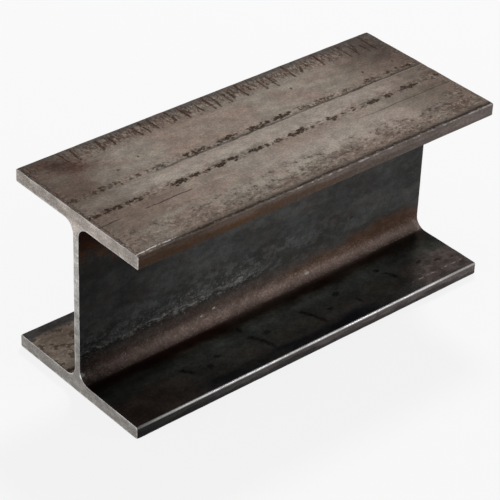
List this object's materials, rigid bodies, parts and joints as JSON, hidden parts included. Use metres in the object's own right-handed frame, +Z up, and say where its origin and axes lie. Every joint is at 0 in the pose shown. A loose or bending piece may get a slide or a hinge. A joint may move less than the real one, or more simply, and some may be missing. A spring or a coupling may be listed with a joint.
{
  "type": "wide-flange steel beam",
  "caption": "Short sawn length of hot-rolled wide-flange steel beam with parallel flanges, a web, root fillets and square-cut ends, carrying dark mill scale.",
  "frame": {"origin": "middle of the underside of the lower flange, on the floor that the beam lies on", "axes": "+X along the beam, between its sawn ends; +Y across the flanges; +Z up the web, from the lower flange to the upper"},
  "size_m": [0.478, 0.2, 0.221],
  "materials": {
    "rolled_steel": "dark brown-grey mill scale with rust, bare saw-cut ends"
  },
  "bodies": {
    "root": {"wide_flange_beam": "rolled_steel"}
  },
  "joints": []
}
